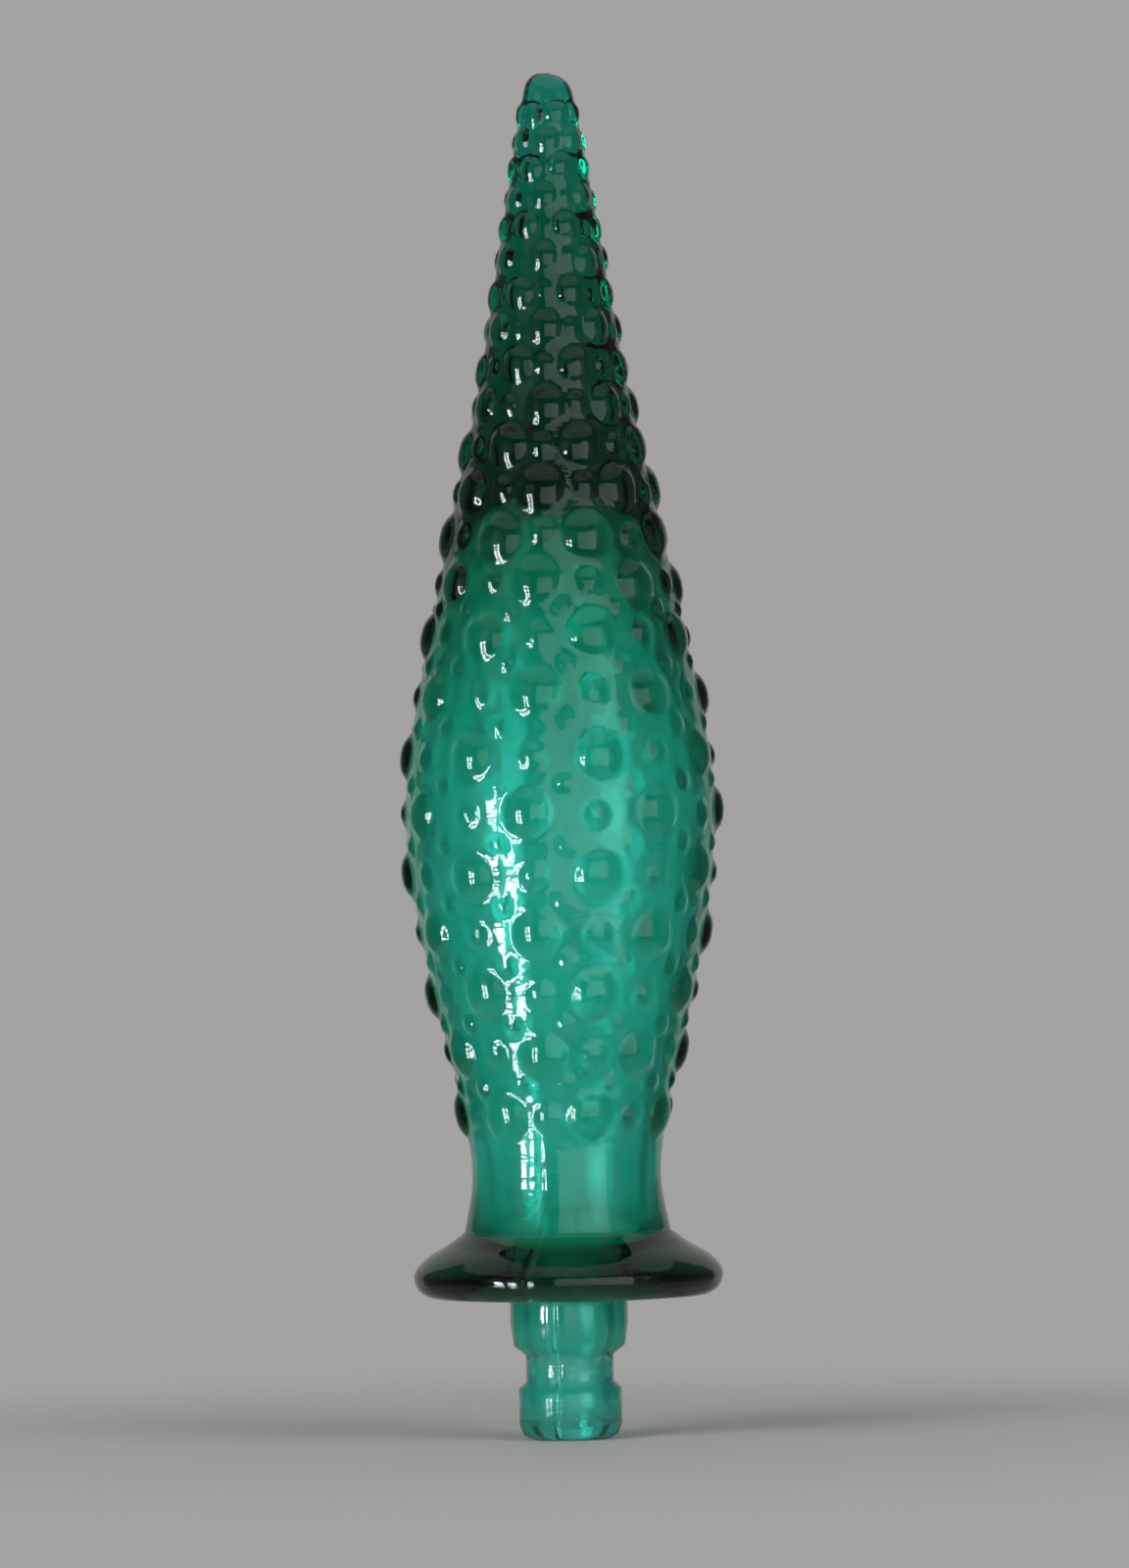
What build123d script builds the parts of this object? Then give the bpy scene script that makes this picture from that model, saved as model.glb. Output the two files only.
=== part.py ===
from build123d import *
import os
from math import cos, pi, radians, sin

# Hobnail glass decanter stopper: a hollow blown spire with a ring collar and a hollow peg.
# The axis is +Z with the tip up. The origin is the centre of the collar's flat underside,
# which rests on the rim of the bottle. All sizes are in millimetres.

# ---- heights along the axis ----
TIP_TOP_Z = 209.8  # flattened end of the spire
TIP_BASE_Z = 139.0  # where the solid glass of the spire gives way to the hollow
CAVITY_TOP_Z = 136.8  # crown of the hollow
COLLAR_TOP_Z = 11.0  # where the neck runs into the collar's flare
COLLAR_RIM_Z = 3.9  # widest level of the collar
PLUG_LAND_Z = -5.0  # end of the straight stretch that fits the bottle's mouth
PLUG_SHOULDER_Z = -8.6
PLUG_END_Z = -10.3
GROOVE_END_Z = -14.9
BEAD_TOP_Z = -16.0
BEAD_LOW_Z = -22.2
PEG_END_Z = -24.7

# ---- outer wall between the hobnails: radius at each height ----
NECK_R, NECK_Z = 16.2, 20.5
LOWER_R, LOWER_Z = 18.3, 35.5
SKIRT_R, SKIRT_Z = 22.7, 53.9
BELLY_R, BELLY_Z = 26.5, 84.5
SHOULDER_R, SHOULDER_Z = 20.2, 121.3
WAIST_R, WAIST_Z = 12.9, 155.0
SPIRE_R, SPIRE_Z = 8.4, 182.0
TIP_R, TIP_SHOULDER_Z = 4.5, 205.0
TIP_BASE_R = 16.4
TIP_FLAT_R = 2.2
TIP_ROUND = (3.75, 207.9)  # point on the rounding between the spire's side and its flat end
FLARE_R = 17.7
FLARE_RISE = (-0.5, 1.0)  # direction of the wall where it leaves the collar
SPLIT_RISE = (-0.215, 1.0)  # direction of the wall where the hollow ends
TIP_RISE = (-0.16, 1.0)

# ---- the hollow ----
GLASS_THICK = 3.5  # of the wall, from the neck up to the belly
CROWN_R, CROWN_Z = 13.6, 122.0
PLUG_BORE_R, PLUG_BORE_Z = 6.8, -7.0  # the plug's bore, and the level where it narrows
BORE_R = 5.4  # at the groove
THROAT_RISE = (1.0, 0.35)  # direction in which the plug's bore opens into the hollow
BEAD_BORE_R, BEAD_BORE_Z = 6.0, -17.5

# ---- collar ----
COLLAR_R = 26.5
FLARE_MIDDLE = (20.6, 8.9)
FLARE_OUTER = (24.6, 6.4)
COLLAR_FACE_R = 24.3
COLLAR_ROUND = (26.0, 1.3)

# ---- peg ----
PLUG_R = 10.1
PLUG_ROOT_R, PLUG_ROOT_Z = 9.2, 1.8  # where the plug starts, inside the collar
PLUG_LOW_R = 9.6
GROOVE_R = 7.5
BEAD_R = 8.8
BEAD_END_R = 6.6
BEAD_ROUND = (8.15, -23.9)
MOUTH_R = 4.9
MOUTH_ROUND = 0.8

# ---- hobnails ----
COLUMNS = 14  # round each row, large and small by turns
TURN = 360 / COLUMNS
FRONT_TURN = -75.5  # direction of the large hobnails of the lowest row
TWIST = 0.06  # degrees that the columns turn for each millimetre above the belly
ROW_COUNT = 23
ROW_FIRST_Z = 31.3
BELLY_ROWS = 8  # steps of even spacing, from the lowest row up
BELLY_STEP = 10.25
SPIRE_STEP = 8.6
SPIRE_SHRINK = 0.952  # each step up the spire, as a share of the one below it
LARGE_R, LARGE_SHARE = 4.1, 0.52  # base radius, and its limit as a share of the pitch round a row
SMALL_R, SMALL_SHARE = 2.3, 0.27
FINE_R = 1.7
FINE_ROWS = 9
DOME_RISE = 0.30  # height of a hobnail, as a share of its base radius
PLACING_ERROR = 1e-6  # how finely a height is looked up along the wall

HOLLOW_NECK_R = NECK_R - GLASS_THICK

STATIONS = [
    (FLARE_R, COLLAR_TOP_Z),
    (NECK_R, NECK_Z),
    (LOWER_R, LOWER_Z),
    (SKIRT_R, SKIRT_Z),
    (BELLY_R, BELLY_Z),
    (SHOULDER_R, SHOULDER_Z),
    (TIP_BASE_R, TIP_BASE_Z),
    (WAIST_R, WAIST_Z),
    (SPIRE_R, SPIRE_Z),
    (TIP_R, TIP_SHOULDER_Z),
]


def stations(low, high):
    """Stations of the outer wall from one height up to another."""
    return [station for station in STATIONS if low <= station[1] <= high]


os.makedirs("parts", exist_ok=True)

# ---- body_wall: the blown wall, from the collar up to the crown of the hollow ----
with BuildPart() as body_wall:
    with BuildSketch(Plane.XZ):
        with BuildLine():
            wall_side = Spline(
                *stations(COLLAR_TOP_Z, TIP_BASE_Z), tangents=[FLARE_RISE, SPLIT_RISE]
            )
            Polyline(wall_side @ 1, (0, TIP_BASE_Z), (0, CAVITY_TOP_Z))
            hollow_side = Spline(
                (0, CAVITY_TOP_Z),
                (CROWN_R, CROWN_Z),
                *[(r - GLASS_THICK, z) for r, z in reversed(stations(NECK_Z, BELLY_Z))],
                (HOLLOW_NECK_R, COLLAR_TOP_Z),
                tangents=[(1, 0), (0, -1)],
            )
            Line(hollow_side @ 1, wall_side @ 0)
        make_face()
    revolve(axis=Axis.Z)
body_wall.part.label = "body_wall"
export_step(body_wall.part, "parts/body_wall.step")

# ---- solid_tip: the solid glass of the spire, with its flattened end ----
with BuildPart() as solid_tip:
    with BuildSketch(Plane.XZ):
        with BuildLine():
            tip_side = Spline(
                *stations(TIP_BASE_Z, TIP_TOP_Z), tangents=[SPLIT_RISE, TIP_RISE]
            )
            ThreePointArc(tip_side @ 1, TIP_ROUND, (TIP_FLAT_R, TIP_TOP_Z))
            Polyline((TIP_FLAT_R, TIP_TOP_Z), (0, TIP_TOP_Z), (0, TIP_BASE_Z), tip_side @ 0)
        make_face()
    revolve(axis=Axis.Z)
solid_tip.part.label = "solid_tip"
export_step(solid_tip.part, "parts/solid_tip.step")

# ---- collar: the flared ring that covers the bottle's rim ----
with BuildPart() as collar:
    with BuildSketch(Plane.XZ):
        with BuildLine():
            flare = Spline(
                (FLARE_R, COLLAR_TOP_Z),
                FLARE_MIDDLE,
                FLARE_OUTER,
                (COLLAR_R, COLLAR_RIM_Z),
                tangents=[(0.5, -1), (0, -1)],
            )
            ThreePointArc(flare @ 1, COLLAR_ROUND, (COLLAR_FACE_R, 0))
            Polyline(
                (COLLAR_FACE_R, 0),
                (PLUG_R, 0),
                (PLUG_ROOT_R, PLUG_ROOT_Z),
                (PLUG_BORE_R, PLUG_ROOT_Z),
            )
            throat = Spline(
                (PLUG_BORE_R, PLUG_ROOT_Z),
                (HOLLOW_NECK_R, COLLAR_TOP_Z),
                tangents=[THROAT_RISE, (0, 1)],
            )
            Line(throat @ 1, flare @ 0)
        make_face()
    revolve(axis=Axis.Z)
collar.part.label = "collar"
export_step(collar.part, "parts/collar.step")

# ---- peg_plug: the upper stretch of the peg, rooted in the collar, straight and then tapered ----
with BuildPart() as peg_plug:
    with BuildSketch(Plane.XZ):
        with BuildLine():
            Polyline(
                (PLUG_BORE_R, PLUG_ROOT_Z),
                (PLUG_ROOT_R, PLUG_ROOT_Z),
                (PLUG_R, 0),
                (PLUG_R, PLUG_LAND_Z),
                (PLUG_LOW_R, PLUG_SHOULDER_Z),
                (GROOVE_R, PLUG_END_Z),
                (BORE_R, PLUG_END_Z),
                (PLUG_BORE_R, PLUG_BORE_Z),
                close=True,
            )
        make_face()
    revolve(axis=Axis.Z)
peg_plug.part.label = "peg_plug"
export_step(peg_plug.part, "parts/peg_plug.step")

# ---- peg_groove: the waist between the plug and the bead ----
with BuildPart() as peg_groove:
    with BuildSketch(Plane.XZ):
        with BuildLine():
            Polyline(
                (BORE_R, PLUG_END_Z),
                (GROOVE_R, PLUG_END_Z),
                (GROOVE_R, GROOVE_END_Z),
                (BORE_R, GROOVE_END_Z),
                close=True,
            )
        make_face()
    revolve(axis=Axis.Z)
peg_groove.part.label = "peg_groove"
export_step(peg_groove.part, "parts/peg_groove.step")

# ---- peg_bead: the rounded end of the peg, open at its mouth ----
with BuildPart() as peg_bead:
    with BuildSketch(Plane.XZ):
        with BuildLine():
            Polyline(
                (BORE_R, GROOVE_END_Z),
                (GROOVE_R, GROOVE_END_Z),
                (BEAD_R, BEAD_TOP_Z),
                (BEAD_R, BEAD_LOW_Z),
            )
            ThreePointArc((BEAD_R, BEAD_LOW_Z), BEAD_ROUND, (BEAD_END_R, PEG_END_Z))
            Line((BEAD_END_R, PEG_END_Z), (MOUTH_R + MOUTH_ROUND, PEG_END_Z))
            mouth = Spline(
                (MOUTH_R + MOUTH_ROUND, PEG_END_Z),
                (MOUTH_R, PEG_END_Z + MOUTH_ROUND),
                (BEAD_BORE_R, BEAD_LOW_Z),
                tangents=[(-1, 0), (0, 1)],
            )
            Polyline(mouth @ 1, (BEAD_BORE_R, BEAD_BORE_Z), (BORE_R, GROOVE_END_Z))
        make_face()
    revolve(axis=Axis.Z)
peg_bead.part.label = "peg_bead"
export_step(peg_bead.part, "parts/peg_bead.step")

# ---- hobnails: domes that stand on the wall ----
# The whole spire without its hollow, which is cut from each dome to leave the part outside.
with BuildPart() as spire:
    with BuildSketch(Plane.XZ):
        with BuildLine():
            add(wall_side)
            add(tip_side)
            Polyline(wall_side @ 0, (0, COLLAR_TOP_Z), (0, TIP_SHOULDER_Z), tip_side @ 1)
        make_face()
    revolve(axis=Axis.Z)


def wall_point(z):
    """Radius of the outer wall at a height, and the direction of its outward normal in degrees."""
    side = tip_side if z > TIP_BASE_Z else wall_side
    low, high = 0.0, 1.0
    while high - low > PLACING_ERROR:
        middle = (low + high) / 2
        low, high = (middle, high) if (side @ middle).Y < z else (low, middle)
    rise = side % low
    return (side @ low).X, Vector(1, 0).get_angle(Vector(rise.X, rise.Y)) - 90


def dome(base_r, z):
    """One hobnail on the wall at a height, in the +X direction."""
    wall_r, tilt = wall_point(z)
    rise = DOME_RISE * base_r
    ball_r = (base_r**2 + rise**2) / (2 * rise)
    depth = ball_r - rise
    centre = (wall_r - depth * cos(radians(tilt)), 0, z - depth * sin(radians(tilt)))
    with BuildPart() as hobnail:
        with Locations(centre):
            Sphere(ball_r)
        add(spire.part, mode=Mode.SUBTRACT)
    return hobnail.part


def base_radius(z, largest, share):
    """Base radius of a hobnail at a height, held to a share of the pitch round the row."""
    return min(largest, share * 2 * pi * wall_point(z)[0] / COLUMNS)


def column_turn(z):
    """Direction of the first column of hobnails at a height, in degrees."""
    return FRONT_TURN + TWIST * max(z - BELLY_Z, 0)


row_heights = [ROW_FIRST_Z]
for step in range(ROW_COUNT - 1):
    spire_step = SPIRE_STEP * SPIRE_SHRINK ** max(step - BELLY_ROWS, 0)
    row_heights.append(row_heights[-1] + (BELLY_STEP if step < BELLY_ROWS else spire_step))

for row, row_z in enumerate(row_heights):
    large_dome = dome(base_radius(row_z, LARGE_R, LARGE_SHARE), row_z)
    small_dome = dome(base_radius(row_z, SMALL_R, SMALL_SHARE), row_z)
    large_turn = column_turn(row_z) + TURN * (row % 2)
    with BuildPart() as hobnail_row:
        with PolarLocations(0, COLUMNS // 2, start_angle=large_turn):
            add(large_dome)
        with PolarLocations(0, COLUMNS // 2, start_angle=large_turn + TURN):
            add(small_dome)
    hobnail_row.part.label = f"hobnail_row_{row + 1:02d}"
    export_step(hobnail_row.part, f"parts/hobnail_row_{row + 1:02d}.step")

# ---- fine_row_NN: small domes midway between the rows and columns of the belly ----
for row in range(FINE_ROWS):
    fine_z = (row_heights[row] + row_heights[row + 1]) / 2
    fine_dome = dome(FINE_R, fine_z)
    with BuildPart() as fine_row:
        with PolarLocations(0, COLUMNS, start_angle=column_turn(fine_z) + TURN / 2):
            add(fine_dome)
    fine_row.part.label = f"fine_row_{row + 1:02d}"
    export_step(fine_row.part, f"parts/fine_row_{row + 1:02d}.step")
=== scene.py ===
import logging
import math
from dataclasses import dataclass, field
from enum import Enum

import bpy
from mathutils import Euler, Matrix, Vector


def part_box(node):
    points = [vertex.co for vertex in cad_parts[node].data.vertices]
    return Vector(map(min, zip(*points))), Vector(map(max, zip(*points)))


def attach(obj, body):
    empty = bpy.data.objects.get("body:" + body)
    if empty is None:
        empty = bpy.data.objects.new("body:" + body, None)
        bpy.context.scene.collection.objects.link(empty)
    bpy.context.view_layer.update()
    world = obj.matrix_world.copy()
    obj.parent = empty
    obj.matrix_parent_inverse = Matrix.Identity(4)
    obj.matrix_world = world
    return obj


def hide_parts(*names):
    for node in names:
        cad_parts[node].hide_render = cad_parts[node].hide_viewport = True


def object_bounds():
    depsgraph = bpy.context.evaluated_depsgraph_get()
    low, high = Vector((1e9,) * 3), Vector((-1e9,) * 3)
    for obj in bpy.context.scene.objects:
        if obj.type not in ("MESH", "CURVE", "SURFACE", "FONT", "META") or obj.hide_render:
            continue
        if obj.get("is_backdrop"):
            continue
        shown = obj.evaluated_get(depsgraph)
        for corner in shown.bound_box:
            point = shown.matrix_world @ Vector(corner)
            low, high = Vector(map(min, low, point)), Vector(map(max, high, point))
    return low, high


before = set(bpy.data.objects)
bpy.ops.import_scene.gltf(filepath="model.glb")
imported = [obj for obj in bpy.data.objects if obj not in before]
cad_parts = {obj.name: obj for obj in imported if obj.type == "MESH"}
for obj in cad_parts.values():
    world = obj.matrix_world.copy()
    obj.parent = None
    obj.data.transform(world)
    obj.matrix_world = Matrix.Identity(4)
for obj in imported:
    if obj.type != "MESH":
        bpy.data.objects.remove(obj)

# A hobnail glass decanter stopper. Its axis is Z, with the tip up, and heights are above the
# collar's flat seat. The stopper's own sizes are in millimetres. Finishes and studio are in metres.

MM = 0.001
LOG = logging.getLogger("stopper")

Point = tuple[float, float]  # radius and height, or width and height
Ring = tuple[float, float, bool]  # radius, height, and whether it is on the hollow
Color = tuple[float, float, float]


class Hobnail(Enum):
    """The three sizes of hobnail, by the number stored on their centres."""

    LARGE = 0
    SMALL = 1
    FINE = 2


# ---------------------------------------------------------------- finishes


def shader_tree(name: str) -> tuple[bpy.types.Material, bpy.types.NodeTree]:
    """Make an empty node material.

    Args:
        name: The material's name.

    Returns:
        The material and its node tree, holding only the output.
    """
    material = bpy.data.materials.new(name)
    material.use_nodes = True
    tree = material.node_tree
    tree.nodes.clear()
    tree.nodes.new("ShaderNodeOutputMaterial")
    return material, tree


def node(tree: bpy.types.NodeTree, kind: str, **settings: object) -> bpy.types.Node:
    """Add a node and set its properties and its sockets.

    Args:
        tree: The tree that gets the node.
        kind: The node's type name.
        settings: Properties by name, and socket values by name with underscores for spaces.

    Returns:
        The new node.
    """
    made = tree.nodes.new(kind)
    for key, value in settings.items():
        if hasattr(made, key):
            setattr(made, key, value)
        else:
            made.inputs[key.replace("_", " ")].default_value = value
    return made


@dataclass(frozen=True)
class GreenGlass:
    """Transparent green glass that darkens with its depth, cloudy where its skin is lined."""

    name: str = "green_glass"
    tint: Color = (0.05, 0.81, 0.74)
    density: float = 530.0
    ior: float = 1.51
    smoothest: float = 0.012
    roughest: float = 0.072
    smear_scale: float = 140.0
    ripple: float = 0.17
    ripple_depth: float = 0.0004
    ripple_scale: float = 230.0
    ripple_shape: tuple[float, float, float] = (1.0, 1.0, 2.4)
    milk: float = 0.36
    milk_pale: Color = (0.90, 1.00, 0.93)
    milk_deep: Color = (0.22, 0.50, 0.42)
    cloud_scale: float = 62.0

    def milky(self, tree: bpy.types.NodeTree, place: bpy.types.Node) -> bpy.types.Node:
        """Add the cloudy part of the skin.

        Args:
            tree: The glass's node tree.
            place: Its texture coordinates.

        Returns:
            The cloudy shader's node.
        """
        cloud = node(tree, "ShaderNodeTexNoise", Scale=self.cloud_scale, Detail=2.0)
        shade = node(tree, "ShaderNodeMix", data_type="RGBA")
        shade.inputs["A"].default_value = (*self.milk_deep, 1)
        shade.inputs["B"].default_value = (*self.milk_pale, 1)
        skin = node(tree, "ShaderNodeBsdfDiffuse", Roughness=0.5)
        tree.links.new(place.outputs["Object"], cloud.inputs["Vector"])
        tree.links.new(cloud.outputs["Fac"], shade.inputs["Factor"])
        tree.links.new(shade.outputs["Result"], skin.inputs["Color"])
        return skin

    def clear(self, tree: bpy.types.NodeTree, place: bpy.types.Node) -> bpy.types.Node:
        """Add the clear part of the skin, with its smears and faint ripples.

        Args:
            tree: The glass's node tree.
            place: Its texture coordinates.

        Returns:
            The clear shader's node.
        """
        skin = node(tree, "ShaderNodeBsdfPrincipled", Base_Color=(1, 1, 1, 1), IOR=self.ior)
        skin.inputs["Transmission Weight"].default_value = 1.0
        smear = node(
            tree, "ShaderNodeTexNoise", Scale=self.smear_scale, Detail=4.0, Roughness=0.6
        )
        gloss = node(tree, "ShaderNodeMapRange", To_Min=self.smoothest, To_Max=self.roughest)
        bands = node(tree, "ShaderNodeMapping", Scale=self.ripple_shape)
        wave = node(
            tree, "ShaderNodeTexNoise", Scale=self.ripple_scale, Detail=2.0, Distortion=0.6
        )
        bump = node(tree, "ShaderNodeBump", Strength=self.ripple, Distance=self.ripple_depth)
        links = tree.links
        links.new(place.outputs["Object"], smear.inputs["Vector"])
        links.new(place.outputs["Object"], bands.inputs["Vector"])
        links.new(bands.outputs["Vector"], wave.inputs["Vector"])
        links.new(smear.outputs["Fac"], gloss.inputs["Value"])
        links.new(gloss.outputs["Result"], skin.inputs["Roughness"])
        links.new(wave.outputs["Fac"], bump.inputs["Height"])
        links.new(bump.outputs["Normal"], skin.inputs["Normal"])
        return skin

    def make(self) -> bpy.types.Material:
        """Make the glass.

        Returns:
            The material: a clear skin, milky by the faces' "lined", over absorbing depth.
        """
        material, tree = shader_tree(self.name)
        output = tree.nodes["Material Output"]
        place = node(tree, "ShaderNodeTexCoord")
        depth = node(
            tree, "ShaderNodeVolumeAbsorption", Color=(*self.tint, 1), Density=self.density
        )
        lined = node(tree, "ShaderNodeAttribute", attribute_name="lined")
        share = node(tree, "ShaderNodeMath", operation="MULTIPLY")
        share.inputs[1].default_value = self.milk
        both = node(tree, "ShaderNodeMixShader")
        links = tree.links
        links.new(lined.outputs["Fac"], share.inputs[0])
        links.new(share.outputs["Value"], both.inputs["Fac"])
        links.new(self.clear(tree, place).outputs["BSDF"], both.inputs[1])
        links.new(self.milky(tree, place).outputs["BSDF"], both.inputs[2])
        links.new(both.outputs["Shader"], output.inputs["Surface"])
        links.new(depth.outputs["Volume"], output.inputs["Volume"])
        return material


@dataclass(frozen=True)
class Matt:
    """A plain matt finish of one colour."""

    name: str
    color: Color
    roughness: float = 0.9

    def make(self) -> bpy.types.Material:
        """Make the finish.

        Returns:
            The material.
        """
        material, tree = shader_tree(self.name)
        skin = node(tree, "ShaderNodeBsdfPrincipled", Roughness=self.roughness)
        skin.inputs["Base Color"].default_value = (*self.color, 1)
        tree.links.new(skin.outputs["BSDF"], tree.nodes["Material Output"].inputs["Surface"])
        return material


@dataclass(frozen=True)
class PaperWhite(Matt):
    """The pale matt sheet that the stopper stands on, which fades into the air around it."""

    name: str = "pale_floor"
    color: Color = (0.36, 0.34, 0.325)
    fade_from: float = 0.04
    fade_to: float = 0.21

    def make(self) -> bpy.types.Material:
        """Make the finish.

        Returns:
            The material, clearer with the distance from the middle.
        """
        material = super().make()
        tree = material.node_tree
        place = node(tree, "ShaderNodeTexCoord")
        reach = node(tree, "ShaderNodeVectorMath", operation="LENGTH")
        fade = node(
            tree,
            "ShaderNodeMapRange",
            interpolation_type="SMOOTHSTEP",
            From_Min=self.fade_from,
            From_Max=self.fade_to,
            To_Min=1.0,
            To_Max=0.0,
        )
        skin = tree.nodes["Principled BSDF"]
        tree.links.new(place.outputs["Object"], reach.inputs[0])
        tree.links.new(reach.outputs["Value"], fade.inputs["Value"])
        tree.links.new(fade.outputs["Result"], skin.inputs["Alpha"])
        return material


# ---------------------------------------------------------------- outline


def curve_through(points: list[Point], per_span: int = 24) -> list[Point]:
    """Run a smooth line through points.

    Args:
        points: Stations as (radius, height), in order.
        per_span: Samples from one station to the next.

    Returns:
        Closely spaced points on the line, both ends included.
    """
    first = (2 * points[0][0] - points[1][0], 2 * points[0][1] - points[1][1])
    last = (2 * points[-1][0] - points[-2][0], 2 * points[-1][1] - points[-2][1])
    chain = [Vector(p) for p in [first, *points, last]]
    line: list[Point] = []
    for i in range(1, len(chain) - 2):
        p0, p1, p2, p3 = chain[i - 1 : i + 3]
        k0, k1, k2 = (math.sqrt((b - a).length) for a, b in ((p0, p1), (p1, p2), (p2, p3)))
        m1 = (p1 - p0) / k0 - (p2 - p0) / (k0 + k1) + (p2 - p1) / k1
        m2 = (p2 - p1) / k1 - (p3 - p1) / (k1 + k2) + (p3 - p2) / k2
        for j in range(per_span):
            t = j / per_span
            a = (2 * t**3 - 3 * t**2 + 1) * p1 + (t**3 - 2 * t**2 + t) * k1 * m1
            b = (3 * t**2 - 2 * t**3) * p2 + (t**3 - t**2) * k1 * m2
            line.append(tuple(a + b))
    line.append(tuple(chain[-2]))
    return line


def respace(line: list[Point], step: float, growth: float = 0.0) -> list[Point]:
    """Space the points of a line evenly.

    Args:
        line: The line's points.
        step: Spacing on the axis.
        growth: How much the spacing grows with the radius.

    Returns:
        The new points, both ends included.
    """
    spaced = [line[0]]
    run = 0.0
    for (r0, z0), (r1, z1) in zip(line, line[1:]):
        run += math.hypot(r1 - r0, z1 - z0)
        if run >= step + growth * r1:
            spaced.append((r1, z1))
            run = 0.0
    if len(spaced) > 1 and run < step / 2:
        spaced.pop()
    spaced.append(line[-1])
    return spaced


def divide(start: Point, end: Point, step: float) -> list[Point]:
    """Divide a straight edge into about equal steps.

    Args:
        start: The edge's first point.
        end: Its last point.
        step: The wanted length of a step.

    Returns:
        The points after the first one, the last one included.
    """
    along = (end[0] - start[0], end[1] - start[1])
    steps = max(1, round(math.hypot(*along) / step))
    return [
        (start[0] + along[0] * i / steps, start[1] + along[1] * i / steps)
        for i in range(1, steps + 1)
    ]


@dataclass
class Outline:
    """Half section of the stopper: down the outside from the tip, and back up the hollow.

    Every station is a radius and a height above the collar's seat, in millimetres.
    """

    tip: list[Point] = field(
        default_factory=lambda: [(0.0, 209.8), (2.2, 209.5), (3.75, 207.9), (4.5, 205.0)]
    )
    wall: list[Point] = field(
        default_factory=lambda: [
            (4.5, 205.0),
            (8.4, 182.0),
            (12.9, 155.0),
            (16.4, 139.0),
            (20.2, 121.3),
            (26.5, 84.5),
            (22.7, 53.9),
            (18.3, 35.5),
            (16.2, 20.5),
            (17.7, 11.0),
        ]
    )
    collar: list[Point] = field(
        default_factory=lambda: [
            (17.7, 11.0),
            (20.6, 8.9),
            (24.6, 6.4),
            (26.5, 3.9),
            (26.0, 1.3),
            (24.3, 0.0),
        ]
    )
    peg: list[Point] = field(
        default_factory=lambda: [
            (24.3, 0.0),
            (10.3, 0.0),
            (10.1, -0.3),
            (10.1, -5.0),
            (9.6, -8.6),
            (7.5, -10.3),
            (7.5, -14.9),
            (8.8, -16.0),
            (8.8, -22.2),
            (8.15, -23.9),
            (6.6, -24.7),
            (5.7, -24.7),
            (4.9, -23.9),
        ]
    )
    hollow: list[Point] = field(
        default_factory=lambda: [
            (4.9, -23.9),
            (6.0, -22.2),
            (6.0, -17.5),
            (5.4, -14.9),
            (5.4, -10.3),
            (6.8, -7.0),
            (6.8, 1.8),
            (9.6, 3.2),
            (11.9, 6.4),
            (12.7, 11.0),
            (12.7, 20.5),
            (14.8, 35.5),
            (19.2, 53.9),
            (23.0, 84.5),
            (13.6, 122.0),
            (8.8, 132.0),
            (4.6, 135.8),
            (0.0, 136.8),
        ]
    )
    wall_step: float = 0.44
    wall_growth: float = 0.0105
    wall_samples: int = 90
    fine_step: float = 0.9
    peg_step: float = 1.8
    hollow_step: float = 3.0

    @property
    def belly_radius(self) -> float:
        """Return the wall's largest radius between the hobnails."""
        return max(radius for radius, _ in self.wall)

    def points(self) -> list[Ring]:
        """List the points of the outline.

        Returns:
            Each point's radius and height in millimetres, and whether it is on the hollow.
        """
        wall = curve_through(self.wall, self.wall_samples)
        outside = respace(curve_through(self.tip), self.fine_step)
        outside += respace(wall, self.wall_step, self.wall_growth)[1:]
        outside += respace(curve_through(self.collar), self.fine_step)[1:]
        for start, end in zip(self.peg, self.peg[1:]):
            outside += divide(start, end, self.peg_step)
        inside = respace(curve_through(self.hollow), self.hollow_step)[1:]
        return [(r, z, False) for r, z in outside] + [(r, z, True) for r, z in inside]

    def wall_radius(self, height: float) -> float:
        """Return the outer wall's radius at a height, both in millimetres."""
        line = curve_through(self.wall)
        return min(line, key=lambda p: abs(p[1] - height))[0]


# ---------------------------------------------------------------- hobnails


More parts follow.
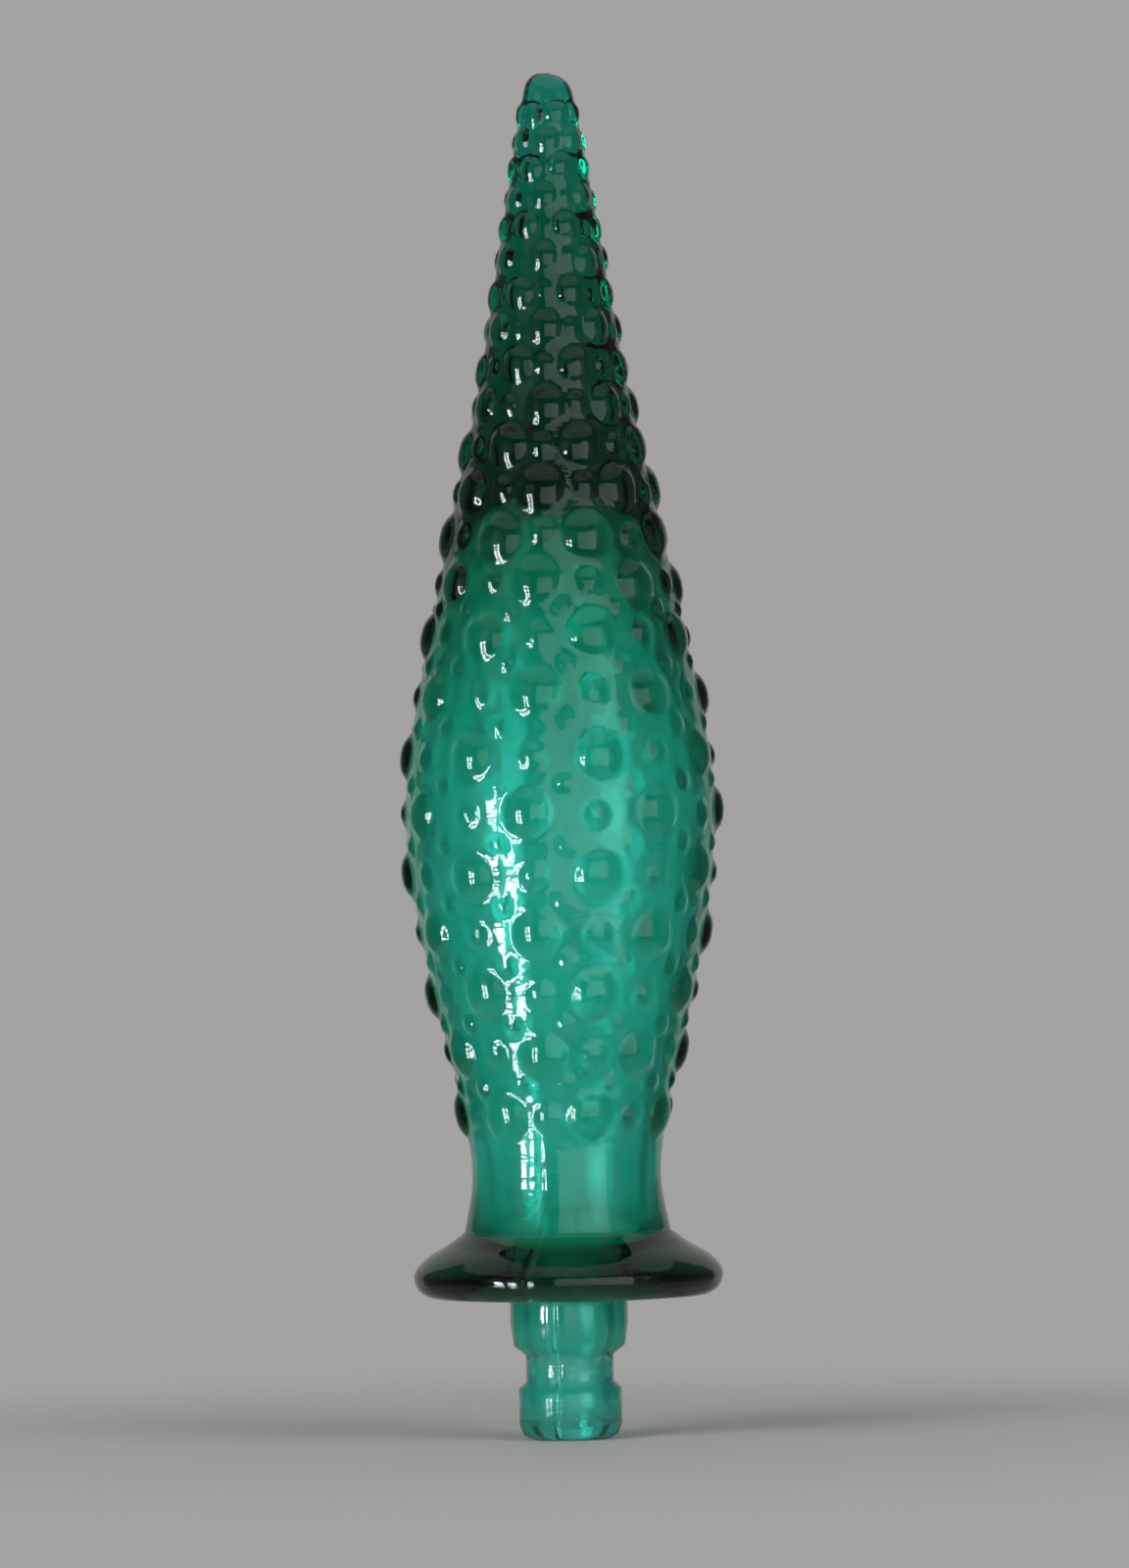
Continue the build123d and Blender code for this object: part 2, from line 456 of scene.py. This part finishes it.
@dataclass
class HobnailPattern:
    """Where the hobnails stand: rows from the frame, and an even turn round each row.

    Lengths are in millimetres and turns in degrees.
    """

    columns: int = 14
    front_turn: float = -75.5
    twist: float = 0.06
    twist_from: float = 84.5
    small_share: float = 0.56
    fine_radius: float = 1.7
    spread: float = 0.30
    spire_fade: float = 0.22
    least_large: float = 2.2
    full_small_radius: float = 13.0
    outline: Outline = field(default_factory=Outline)

    def row_spans(self, kind: str) -> list[Point]:
        """Read the rows of one kind from their nodes.

        Args:
            kind: What the rows' nodes are called before their number.

        Returns:
            Each row's half height and middle height, from the lowest row up.
        """
        boxes = [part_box(name) for name in sorted(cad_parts) if name.startswith(kind)]
        return [((high.z - low.z) / 2 / MM, (low.z + high.z) / 2 / MM) for low, high in boxes]

    def column_turn(self, height: float) -> float:
        """Return the direction of the first column at a height, in degrees."""
        return self.front_turn + self.twist * max(height - self.twist_from, 0.0)

    def centres(self) -> list[tuple[Vector, float, float, Hobnail]]:
        """Work out every hobnail, large and small by turns, with the fine ones between them.

        Returns:
            Each one's place in metres, base radius in millimetres, share of the full rise
            and size.
        """
        rows = self.row_spans("hobnail_row_")
        turn = 360 / self.columns
        found = []
        for row, (modelled, height) in enumerate(rows):
            wall = self.outline.wall_radius(height)
            slender = 1.0 - wall / self.outline.belly_radius
            large = max(self.least_large, modelled * (1.0 + self.spread * slender))
            shallow = 1.0 - self.spire_fade * slender
            faint = min(1.0, wall / self.full_small_radius) ** 2
            for column in range(self.columns):
                big = (row + column) % 2 == 0
                kind = Hobnail.LARGE if big else Hobnail.SMALL
                radius = large if big else large * self.small_share
                angle = math.radians(self.column_turn(height) + turn * column)
                share = shallow if big else shallow * faint
                found.append((self.place(angle, height), radius, share, kind))
        for (_, below), (_, above), _ in zip(rows, rows[1:], self.row_spans("fine_row_")):
            height = (below + above) / 2
            for column in range(self.columns):
                angle = math.radians(self.column_turn(height) + turn * (column + 0.5))
                found.append((self.place(angle, height), self.fine_radius, 1.0, Hobnail.FINE))
        return found

    def place(self, angle: float, height: float) -> Vector:
        """Return a point on the outer wall, in metres."""
        radius = self.outline.wall_radius(height)
        return Vector((radius * math.cos(angle), radius * math.sin(angle), height)) * MM

    def make(self) -> bpy.types.Object:
        """Make the cloud of centres.

        Returns:
            An object of loose points that carry their base radius, rise and size.
        """
        centres = self.centres()
        mesh = bpy.data.meshes.new("hobnail_centres")
        mesh.from_pydata([c[0] for c in centres], [], [])
        radius = mesh.attributes.new("base_radius", "FLOAT", "POINT")
        kind = mesh.attributes.new("kind", "FLOAT", "POINT")
        rise = mesh.attributes.new("rise", "FLOAT", "POINT")
        radius.data.foreach_set("value", [c[1] * MM for c in centres])
        rise.data.foreach_set("value", [c[1] * c[2] * MM for c in centres])
        kind.data.foreach_set("value", [float(c[3].value) for c in centres])
        cloud = bpy.data.objects.new("hobnail_centres", mesh)
        bpy.context.scene.collection.objects.link(cloud)
        LOG.info("hobnail centres: %d", len(centres))
        return cloud


class Relief:
    """Geometry nodes that raise the hobnails on the wall and dress the glass."""

    profile_power: float = 2.6

    def __init__(self) -> None:
        """Start an empty tree with its named inputs."""
        self.tree = bpy.data.node_groups.new("hobnail_relief", "GeometryNodeTree")
        face = self.tree.interface
        face.new_socket("Geometry", in_out="OUTPUT", socket_type="NodeSocketGeometry")
        self.sockets = {}
        for name, kind in (
            ("Geometry", "Geometry"),
            ("Centres", "Object"),
            ("Dome Rise", "Float"),
            ("Skirt", "Float"),
            ("Stray", "Float"),
            ("Wave Height", "Float"),
            ("Wave Scale", "Float"),
            ("Seed", "Int"),
            ("Glass", "Material"),
        ):
            made = face.new_socket(name, in_out="INPUT", socket_type=f"NodeSocket{kind}")
            self.sockets[name] = made.identifier
        self.inlet = self.tree.nodes.new("NodeGroupInput")
        self.outlet = self.tree.nodes.new("NodeGroupOutput")

    def link(self, source: bpy.types.NodeSocket, target: bpy.types.NodeSocket) -> None:
        """Join two sockets."""
        self.tree.links.new(source, target)

    def math(self, operation: str, a: object, b: object = None) -> bpy.types.NodeSocket:
        """Add a Math node.

        Args:
            operation: The Math node's operation.
            a: The first socket or number.
            b: The second socket or number, where the operation has one.

        Returns:
            The result's socket.
        """
        made = self.tree.nodes.new("ShaderNodeMath")
        made.operation = operation
        for value, socket in zip((a, b), made.inputs):
            if isinstance(value, bpy.types.NodeSocket):
                self.link(value, socket)
            elif value is not None:
                socket.default_value = value
        return made.outputs[0]

    def attribute(self, name: str) -> bpy.types.NodeSocket:
        """Read a number that the geometry carries.

        Args:
            name: The attribute's name.

        Returns:
            The number's socket.
        """
        made = node(self.tree, "GeometryNodeInputNamedAttribute", data_type="FLOAT")
        made.inputs["Name"].default_value = name
        return made.outputs["Attribute"]

    def stray_centres(self) -> bpy.types.NodeSocket:
        """Move each centre a little off its even place.

        Returns:
            The moved centres, as a socket.
        """
        inputs = self.inlet.outputs
        cloud = node(self.tree, "GeometryNodeObjectInfo")
        self.link(inputs["Centres"], cloud.inputs["Object"])
        drift = node(self.tree, "FunctionNodeRandomValue", data_type="FLOAT_VECTOR")
        drift.inputs[0].default_value = (-1, -1, -1)
        self.link(inputs["Seed"], drift.inputs["Seed"])
        scale = node(self.tree, "ShaderNodeVectorMath", operation="SCALE")
        self.link(drift.outputs[0], scale.inputs[0])
        self.link(inputs["Stray"], scale.inputs["Scale"])
        moved = node(self.tree, "GeometryNodeSetPosition")
        self.link(cloud.outputs["Geometry"], moved.inputs["Geometry"])
        self.link(scale.outputs[0], moved.inputs["Offset"])
        return moved.outputs[0]

    def dome_height(self, centres: bpy.types.NodeSocket, kind: Hobnail) -> bpy.types.NodeSocket:
        """Work out how far one size of hobnail lifts each point of the wall.

        Args:
            centres: All centres.
            kind: The size of hobnail.

        Returns:
            The lift, as a socket.
        """
        inputs = self.inlet.outputs
        chosen = node(self.tree, "FunctionNodeCompare", data_type="FLOAT", operation="EQUAL")
        self.link(self.attribute("kind"), chosen.inputs["A"])
        chosen.inputs["B"].default_value = float(kind.value)
        part = node(self.tree, "GeometryNodeSeparateGeometry", domain="POINT")
        self.link(centres, part.inputs["Geometry"])
        self.link(chosen.outputs[0], part.inputs["Selection"])
        nearest = node(self.tree, "GeometryNodeSampleNearest", domain="POINT")
        self.link(part.outputs["Selection"], nearest.inputs["Geometry"])
        place = node(self.tree, "GeometryNodeSampleIndex", data_type="FLOAT_VECTOR")
        radius = node(self.tree, "GeometryNodeSampleIndex", data_type="FLOAT")
        peak = node(self.tree, "GeometryNodeSampleIndex", data_type="FLOAT")
        position = self.tree.nodes.new("GeometryNodeInputPosition").outputs[0]
        for sampler, value in (
            (place, position),
            (radius, self.attribute("base_radius")),
            (peak, self.attribute("rise")),
        ):
            self.link(part.outputs["Selection"], sampler.inputs["Geometry"])
            self.link(nearest.outputs["Index"], sampler.inputs["Index"])
            self.link(value, sampler.inputs["Value"])
        gap = node(self.tree, "ShaderNodeVectorMath", operation="DISTANCE")
        self.link(position, gap.inputs[0])
        self.link(place.outputs[0], gap.inputs[1])
        share = self.math("DIVIDE", gap.outputs["Value"], radius.outputs[0])
        fall = self.math("SUBTRACT", 1.0, self.math("POWER", share, self.profile_power))
        skirt = self.math("MULTIPLY", inputs["Skirt"], inputs["Skirt"])
        soft = self.math("SQRT", self.math("ADD", self.math("MULTIPLY", fall, fall), skirt))
        dome = self.math("MULTIPLY", self.math("ADD", fall, soft), 0.5)
        rise = self.math("MULTIPLY", peak.outputs[0], inputs["Dome Rise"])
        return self.math("MULTIPLY", dome, rise)

    def build(self) -> bpy.types.NodeTree:
        """Join the hobnails, waves and seam into one push along the wall's normal.

        Returns:
            The finished tree.
        """
        inputs = self.inlet.outputs
        centres = self.stray_centres()
        lift: object = 0.0
        for kind in Hobnail:
            lift = self.math("ADD", lift, self.dome_height(centres, kind))
        wave = node(self.tree, "ShaderNodeTexNoise", Detail=1.0)
        self.link(inputs["Wave Scale"], wave.inputs["Scale"])
        swell = self.math("SUBTRACT", wave.outputs[0], 0.5)
        swell = self.math("MULTIPLY", swell, inputs["Wave Height"])
        swell = self.math("MULTIPLY", swell, self.attribute("outside"))
        lift = self.math("MULTIPLY", lift, self.attribute("studded"))
        lift = self.math("ADD", lift, swell)
        lift = self.math("ADD", lift, self.attribute("seam"))
        push = node(self.tree, "ShaderNodeVectorMath", operation="SCALE")
        self.link(self.tree.nodes.new("GeometryNodeInputNormal").outputs[0], push.inputs[0])
        self.link(lift, push.inputs["Scale"])
        moved = node(self.tree, "GeometryNodeSetPosition")
        self.link(inputs["Geometry"], moved.inputs["Geometry"])
        self.link(push.outputs[0], moved.inputs["Offset"])
        real = node(self.tree, "GeometryNodeRealizeInstances")
        self.link(moved.outputs[0], real.inputs[0])
        glazed = node(self.tree, "GeometryNodeSetMaterial")
        self.link(real.outputs[0], glazed.inputs["Geometry"])
        self.link(inputs["Glass"], glazed.inputs["Material"])
        self.link(glazed.outputs[0], self.outlet.inputs[0])
        return self.tree


# ---------------------------------------------------------------- the stopper


@dataclass
class Stopper:
    """The whole casting, as one closed skin of glass.

    Lengths are in millimetres and turns in degrees.
    """

    segments: int = 240
    outline: Outline = field(default_factory=Outline)
    glass: GreenGlass = field(default_factory=GreenGlass)
    studs_from: float = 25.0
    studs_to: float = 205.5
    stud_fade: float = 2.0
    lining_from: float = -22.5
    collar_span: Point = (0.0, 11.5)
    collar_cloud: float = 2.2
    seam_turn: float = -105.5
    seam_depth: float = 0.38
    seam_width: float = 0.42
    seam_top: float = 24.0
    seam_fade: float = 12.0
    seam_least_radius: float = 6.0
    slant: float = 0.14
    slant_from: float = 206.0
    slant_over: float = 4.0
    slant_middle: float = -2.0
    dome_rise: float = 0.38
    skirt: float = 0.05
    stray: float = 0.5
    wave_height: float = 0.22
    wave_scale: float = 55.0
    seed: int = 7

    def seam_at(self, radius: float, height: float, angle: float) -> float:
        """Work out the mould's seam, a groove on two opposite sides of the outside.

        Args:
            radius: The point's distance from the axis.
            height: Its height.
            angle: Its direction, in radians.

        Returns:
            How far the seam lifts the point, in metres, which is less than nothing.
        """
        off = (angle - math.radians(self.seam_turn) + math.pi / 2) % math.pi - math.pi / 2
        fade = (self.seam_top + self.seam_fade / 2 - height) / self.seam_fade
        fade = min(1.0, max(0.0, fade))
        return MM * -self.seam_depth * fade * math.exp(-((off * radius / self.seam_width) ** 2))

    def stud_share(self, height: float, inner: bool) -> float:
        """Return how much of the hobnails' rise a ring of the skin takes, from 0 to 1."""
        edge = min(height - self.studs_from, self.studs_to - height)
        return 0.0 if inner else min(1.0, max(0.0, edge / self.stud_fade))

    def cloud_share(self, start: Ring, end: Ring) -> float:
        """Work out how cloudy one band of the skin is.

        Args:
            start: The ring that the band starts from.
            end: The ring that it runs to.

        Returns:
            The band's share of milk: none outside, 1 in the hollow, more at the collar.
        """
        low, high = self.collar_span
        heights = (start[1], end[1])
        lining = start[2] and heights[0] > self.lining_from
        throat = lining and low <= min(heights) and max(heights) <= high
        seat = heights == (low, low)
        return self.collar_cloud if throat or seat else float(lining)

    def ring(self, station: Ring) -> tuple[list[tuple[float, float, float]], list[float]]:
        """Lay one ring of the skin.

        Args:
            station: The ring's radius and height, and whether it is on the hollow.

        Returns:
            The ring's points in metres, and how far the seam lifts each.
        """
        radius, height, inner = station
        points, seam = [], []
        for i in range(self.segments):
            angle = math.radians(self.seam_turn) + math.tau * i / self.segments
            x, y = radius * math.cos(angle), radius * math.sin(angle)
            slant = self.slant * max(0.0, height - self.slant_from) / self.slant_over
            points.append((x * MM, y * MM, (height - slant * (x - self.slant_middle)) * MM))
            plain = inner or radius < self.seam_least_radius
            seam.append(0.0 if plain else self.seam_at(radius, height, angle))
        return points, seam

    def skin(self) -> bpy.types.Mesh:
        """Make the closed skin before its relief.

        Returns:
            The mesh, with the numbers that steer the relief and the cloudiness.
        """
        count = self.segments
        top, *rings, crown = self.outline.points()
        verts, studded, outside, seam = [(0.0, 0.0, top[1] * MM)], [0.0], [1.0], [0.0]
        for station in rings:
            points, lifts = self.ring(station)
            verts += points
            seam += lifts
            studded += [self.stud_share(*station[1:])] * count
            outside += [float(not station[2])] * count
        verts.append((0.0, 0.0, crown[1] * MM))
        faces = [(0, 1 + i, 1 + (i + 1) % count) for i in range(count)]
        lined = [0.0] * count
        for index, (start, end) in enumerate(zip(rings, rings[1:])):
            low = 1 + index * count
            around = [(low + i, low + (i + 1) % count) for i in range(count)]
            faces += [(i, i + count, j + count, j) for i, j in around]
            lined += [self.cloud_share(start, end)] * count
        low = 1 + (len(rings) - 1) * count
        faces += [(low + i, len(verts) - 1, low + (i + 1) % count) for i in range(count)]
        lined += [1.0] * count
        mesh = bpy.data.meshes.new("stopper_skin")
        mesh.from_pydata(verts, [], faces)
        for name, domain, values in (
            ("studded", "POINT", [*studded, 0.0]),
            ("outside", "POINT", [*outside, 0.0]),
            ("seam", "POINT", [*seam, 0.0]),
            ("lined", "FACE", lined),
        ):
            mesh.attributes.new(name, "FLOAT", domain).data.foreach_set("value", values)
        mesh.shade_smooth()
        return mesh

    def make(self) -> bpy.types.Object:
        """Make the finished glass.

        Returns:
            The glass, which rides on the body and stands for every node.
        """
        cloud = HobnailPattern(outline=self.outline).make()
        relief = Relief()
        raw = bpy.data.objects.new("raw_skin", self.skin())
        bpy.context.scene.collection.objects.link(raw)
        modifier = raw.modifiers.new("relief", "NODES")
        modifier.node_group = relief.build()
        for name, value in (
            ("Centres", cloud),
            ("Dome Rise", self.dome_rise),
            ("Skirt", self.skirt),
            ("Stray", self.stray * MM),
            ("Wave Height", self.wave_height * MM),
            ("Wave Scale", self.wave_scale),
            ("Seed", self.seed),
            ("Glass", self.glass.make()),
        ):
            modifier[relief.sockets[name]] = value
        bpy.context.view_layer.update()
        solved = raw.evaluated_get(bpy.context.evaluated_depsgraph_get())
        mesh = bpy.data.meshes.new_from_object(solved)
        mesh.name = "stopper_glass"
        bpy.data.objects.remove(raw)
        bpy.data.objects.remove(cloud)
        glass = bpy.data.objects.new("stopper_glass", mesh)
        bpy.context.scene.collection.objects.link(glass)
        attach(glass, "root")
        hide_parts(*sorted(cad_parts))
        LOG.info("stopper_glass: %d faces, dressed in %s", len(mesh.polygons), self.glass.name)
        return glass


# ---------------------------------------------------------------- studio


@dataclass(frozen=True)
class Panel:
    """A soft light that faces the stopper.

    The azimuth is in degrees round from the front, to the viewer's right. The height is that of
    the panel's middle, the reach its distance from the axis, and the glow its brightness as seen
    from the stopper. The glass doesn't mirror an unmirrored panel.
    """

    name: str
    azimuth: float
    height: float
    reach: float
    size: Point
    glow: float
    mirrored: bool = True
    daylight: Color = (0.94, 1.0, 1.06)

    def hang(self, target: Vector) -> bpy.types.Object:
        """Hang the light.

        Args:
            target: The point that it faces.

        Returns:
            The light, which the camera doesn't see.
        """
        lamp = bpy.data.lights.new(self.name, "AREA")
        lamp.shape = "RECTANGLE"
        lamp.size, lamp.size_y = self.size
        lamp.energy = self.glow * math.pi * self.size[0] * self.size[1]
        lamp.color = self.daylight
        hung = bpy.data.objects.new(self.name, lamp)
        turn = math.radians(self.azimuth)
        place = Vector((self.reach * math.sin(turn), -self.reach * math.cos(turn), self.height))
        hung.location = place
        hung.rotation_euler = (target - place).to_track_quat("-Z", "Y").to_euler()
        hung.visible_camera = False
        hung.visible_glossy = self.mirrored
        bpy.context.scene.collection.objects.link(hung)
        return hung


@dataclass
class Window:
    """A window of small panes, low on the viewer's left, which the glass mirrors in patches."""

    rows: int = 4
    columns: int = 2
    azimuth: float = -53.0
    azimuth_step: float = 12.0
    height: float = -0.68
    height_step: float = 0.27
    reach: float = 1.5
    pane: Point = (0.19, 0.18)
    glow: float = 26.0

    def panes(self) -> list[Panel]:
        """List the window's panes.

        Returns:
            One panel for each pane, row by row from the lowest.
        """
        return [
            Panel(
                f"window_{row}_{column}",
                self.azimuth + self.azimuth_step * column,
                self.height + self.height_step * row,
                self.reach,
                self.pane,
                self.glow,
            )
            for row in range(self.rows)
            for column in range(self.columns)
        ]


@dataclass
class Studio:
    """Pale floor, soft lights, dark drape and the camera."""

    object_low: float
    look_height: float = 0.0876
    look_side: float = 0.0008
    distance: float = 1.60
    lens: float = 214.0
    sensor: float = 36.0
    lean: float = 1.0
    floor_radius: float = 0.22
    floor_sides: int = 96
    drape_radius: float = 1.95
    drape_reach_round: float = 138.0
    drape_heights: Point = (-1.3, 1.9)
    drape_color: Color = (0.10, 0.105, 0.10)
    drape_steps: int = 48
    ambient: Color = (0.37, 0.365, 0.36)
    bounces: int = 24
    diffuse_bounces: int = 6
    window: Window = field(default_factory=Window)
    panels: tuple[Panel, ...] = (
        Panel("front_left", 4, 0.22, 1.75, (0.95, 1.6), 0.9),
        Panel("front_right", 34, 0.22, 1.75, (0.95, 1.6), 1.0),
        Panel("left_fill", -48, 0.2, 1.4, (0.9, 1.5), 9.5, mirrored=False),
        Panel("right_fill", 52, 0.2, 1.4, (0.9, 1.5), 7.5, mirrored=False),
    )

    def floor(self) -> bpy.types.Object:
        """Lay the pale floor.

        Returns:
            The floor, at the lowest point of the stopper.
        """
        mesh = bpy.data.meshes.new("floor")
        turns = [math.tau * i / self.floor_sides for i in range(self.floor_sides)]
        rim = [(self.floor_radius * math.cos(a), self.floor_radius * math.sin(a)) for a in turns]
        mesh.from_pydata([(x, y, 0.0) for x, y in rim], [], [tuple(range(self.floor_sides))])
        mesh.materials.append(PaperWhite().make())
        plane = bpy.data.objects.new("floor", mesh)
        plane.location.z = self.object_low
        bpy.context.scene.collection.objects.link(plane)
        plane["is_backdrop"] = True
        return plane

    def drape(self) -> bpy.types.Object:
        """Hang a dark drape round the front and sides, for the glass to mirror.

        Returns:
            The drape, which the camera doesn't see.
        """
        mesh = bpy.data.meshes.new("drape")
        low, high = self.drape_heights
        verts = []
        for i in range(self.drape_steps + 1):
            turn = math.radians(self.drape_reach_round * (2 * i / self.drape_steps - 1))
            x, y = self.drape_radius * math.sin(turn), -self.drape_radius * math.cos(turn)
            verts += [(x, y, low), (x, y, high)]
        faces = [(i, i + 2, i + 3, i + 1) for i in range(0, 2 * self.drape_steps, 2)]
        mesh.from_pydata(verts, [], faces)
        mesh.materials.append(Matt("drape", self.drape_color).make())
        made = bpy.data.objects.new("drape", mesh)
        made.visible_camera = False
        bpy.context.scene.collection.objects.link(made)
        made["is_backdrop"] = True
        return made

    def lights(self) -> None:
        """Hang the window's panes and the soft panels, and light the air."""
        target = Vector((0, 0, self.look_height))
        for panel in (*self.window.panes(), *self.panels):
            panel.hang(target)
        world = bpy.data.worlds.new("air")
        world.use_nodes = True
        world.node_tree.nodes["Background"].inputs["Color"].default_value = (*self.ambient, 1)
        bpy.context.scene.world = world

    def camera(self) -> bpy.types.Object:
        """Set up the camera.

        Returns:
            The camera, level with the middle of the stopper.
        """
        data = bpy.data.cameras.new("camera")
        data.sensor_fit = "VERTICAL"
        data.sensor_height = self.sensor
        data.lens = self.lens
        made = bpy.data.objects.new("camera", data)
        level = Euler((math.radians(90), 0, 0)).to_matrix()
        lean = Matrix.Rotation(math.radians(-self.lean), 3, "Z")
        made.rotation_euler = (level @ lean).to_euler()
        made.location = (self.look_side, -self.distance, self.look_height)
        bpy.context.scene.collection.objects.link(made)
        bpy.context.scene.camera = made
        return made

    def make(self) -> None:
        """Set the studio up round the stopper, with enough bounces for light inside glass."""
        self.floor()
        self.drape()
        self.lights()
        self.camera()
        scene = bpy.context.scene
        scene.cycles.max_bounces = self.bounces
        scene.cycles.transmission_bounces = self.bounces
        scene.cycles.diffuse_bounces = self.diffuse_bounces
        scene.view_settings.view_transform = "Standard"
        LOG.info("studio: %d panes and %d panels", len(self.window.panes()), len(self.panels))


def main() -> None:
    """Build the stopper and its studio, in order."""
    logging.basicConfig(level=logging.INFO, format="%(name)s: %(message)s")
    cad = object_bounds()
    Stopper().make()
    Studio(object_low=cad[0].z).make()


if __name__ == "__main__":
    main()
